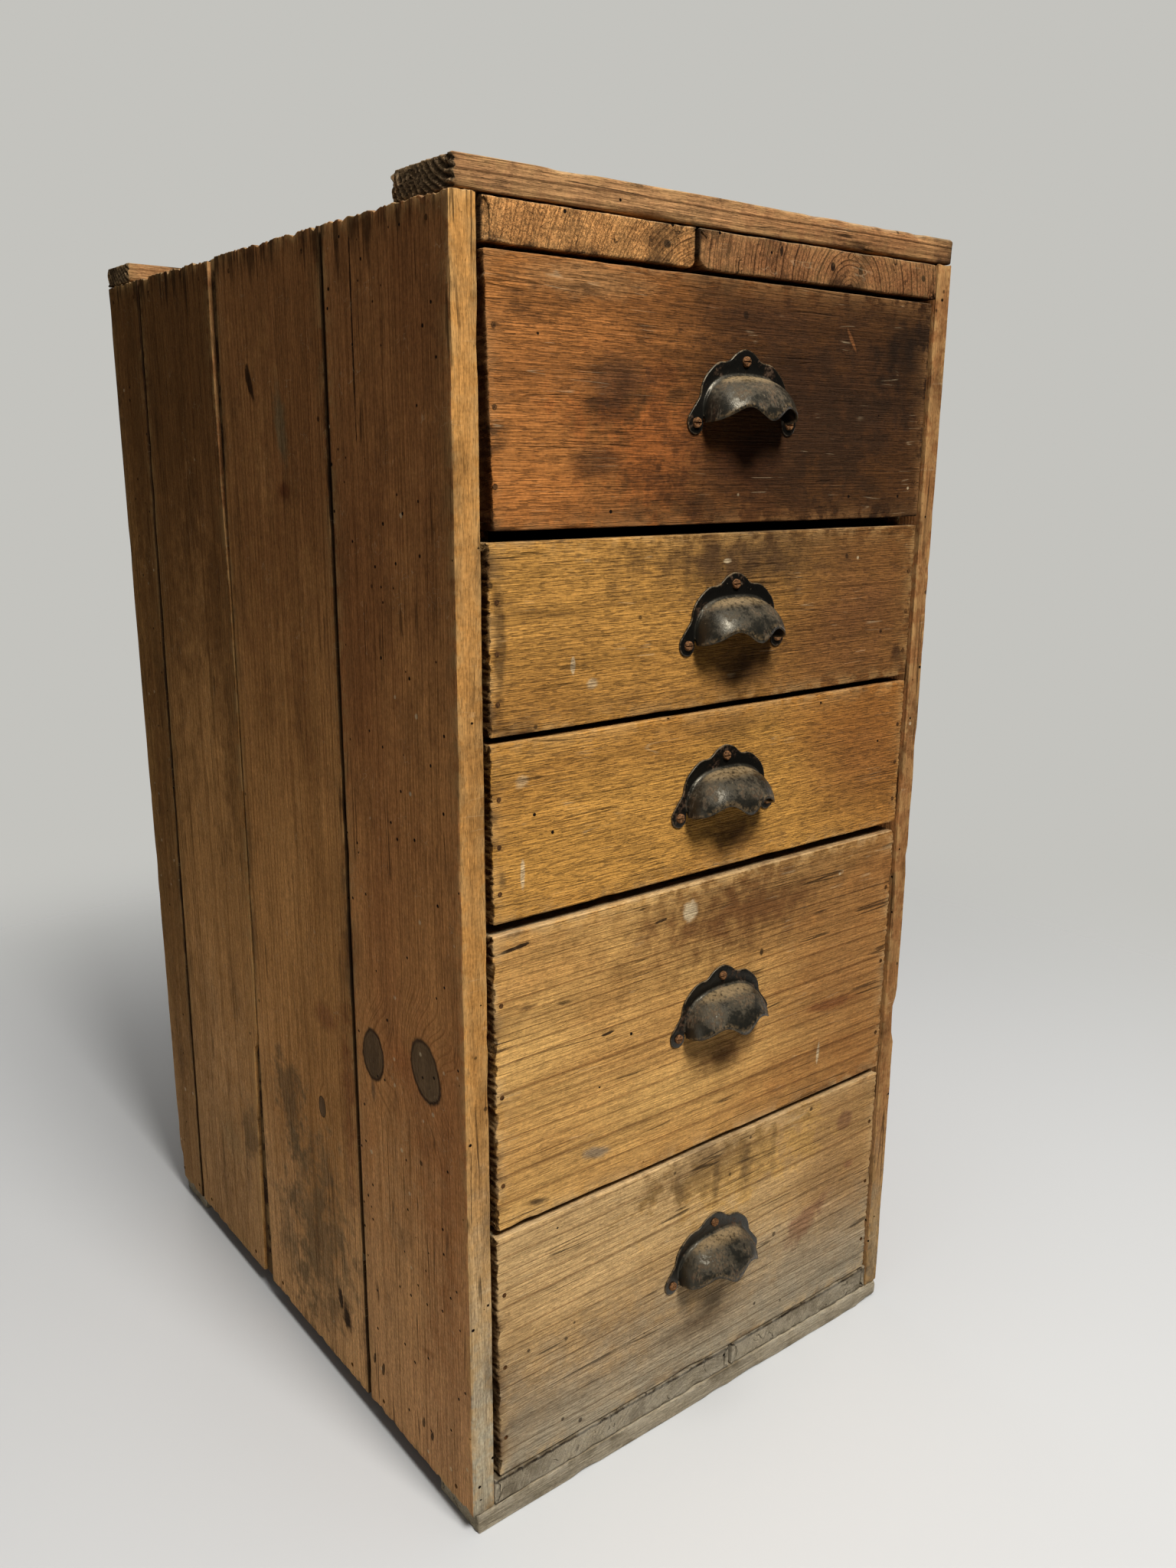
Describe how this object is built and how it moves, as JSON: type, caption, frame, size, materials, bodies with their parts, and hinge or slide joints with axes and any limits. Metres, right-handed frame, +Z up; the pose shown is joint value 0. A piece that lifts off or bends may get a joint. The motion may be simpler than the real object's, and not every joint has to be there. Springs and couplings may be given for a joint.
{
  "type": "drawer cabinet",
  "caption": "Old narrow plank-built pine cabinet with stacked full-width drawers on runners, each opened by a black pressed-steel cup pull; stands on two base battens",
  "frame": {"origin": "on the floor under the middle of the footprint, pulls included", "axes": "+X to the right as seen from the front, +Y to the back, +Z up; drawers open along -Y"},
  "size_m": [0.42, 0.5619, 0.8643],
  "materials": {
    "side_pine": "bare aged pine, brown and dirty",
    "front_pine": "worn honey-coloured pine with stains",
    "end_board_pine": "rough sawn pine, end grain to the front",
    "batten_pine": "weathered pine",
    "inner_pine": "plain unfinished pine",
    "black_steel": "black lacquer on pressed sheet, worn and dusty",
    "nail_steel": "rusty wire nails and slotted screws"
  },
  "bodies": {
    "carcass": {"left_side_board_1": "side_pine", "left_side_board_2": "side_pine", "left_side_board_3": "side_pine", "left_side_board_4": "side_pine", "right_side_board_1": "side_pine", "right_side_board_2": "side_pine", "right_side_board_3": "side_pine", "right_side_board_4": "side_pine", "top_board_left": "end_board_pine", "top_board_right": "end_board_pine", "bottom_board_left": "end_board_pine", "bottom_board_right": "end_board_pine", "top_front_batten": "batten_pine", "top_rear_batten": "batten_pine", "base_front_batten": "batten_pine", "base_rear_batten": "batten_pine", "back_board_1": "inner_pine", "back_board_2": "inner_pine", "back_board_3": "inner_pine", "back_board_4": "inner_pine", "runner_pair_1": "inner_pine", "runner_pair_2": "inner_pine", "runner_pair_3": "inner_pine", "runner_pair_4": "inner_pine", "carcass_nails": "nail_steel"},
    "drawer_1": {"drawer_1_front": "front_pine", "drawer_1_side_left": "inner_pine", "drawer_1_side_right": "inner_pine", "drawer_1_back": "inner_pine", "drawer_1_bottom": "inner_pine", "drawer_1_pull": "black_steel", "drawer_1_fasteners": "nail_steel"},
    "drawer_2": {"drawer_2_front": "front_pine", "drawer_2_side_left": "inner_pine", "drawer_2_side_right": "inner_pine", "drawer_2_back": "inner_pine", "drawer_2_bottom": "inner_pine", "drawer_2_pull": "black_steel", "drawer_2_fasteners": "nail_steel"},
    "drawer_3": {"drawer_3_front": "front_pine", "drawer_3_side_left": "inner_pine", "drawer_3_side_right": "inner_pine", "drawer_3_back": "inner_pine", "drawer_3_bottom": "inner_pine", "drawer_3_pull": "black_steel", "drawer_3_fasteners": "nail_steel"},
    "drawer_4": {"drawer_4_front": "front_pine", "drawer_4_side_left": "inner_pine", "drawer_4_side_right": "inner_pine", "drawer_4_back": "inner_pine", "drawer_4_bottom": "inner_pine", "drawer_4_pull": "black_steel", "drawer_4_fasteners": "nail_steel"},
    "drawer_5": {"drawer_5_front": "front_pine", "drawer_5_side_left": "inner_pine", "drawer_5_side_right": "inner_pine", "drawer_5_back": "inner_pine", "drawer_5_bottom": "inner_pine", "drawer_5_pull": "black_steel", "drawer_5_fasteners": "nail_steel"}
  },
  "joints": [
    {"name": "drawer_1_slide", "type": "slide", "parent": "carcass", "child": "drawer_1", "axis": [0, -1, 0], "range_m": [0, 0.4]},
    {"name": "drawer_2_slide", "type": "slide", "parent": "carcass", "child": "drawer_2", "axis": [0, -1, 0], "range_m": [0, 0.4]},
    {"name": "drawer_3_slide", "type": "slide", "parent": "carcass", "child": "drawer_3", "axis": [0, -1, 0], "range_m": [0, 0.4]},
    {"name": "drawer_4_slide", "type": "slide", "parent": "carcass", "child": "drawer_4", "axis": [0, -1, 0], "range_m": [0, 0.4]},
    {"name": "drawer_5_slide", "type": "slide", "parent": "carcass", "child": "drawer_5", "axis": [0, -1, 0], "range_m": [0, 0.4]}
  ]
}
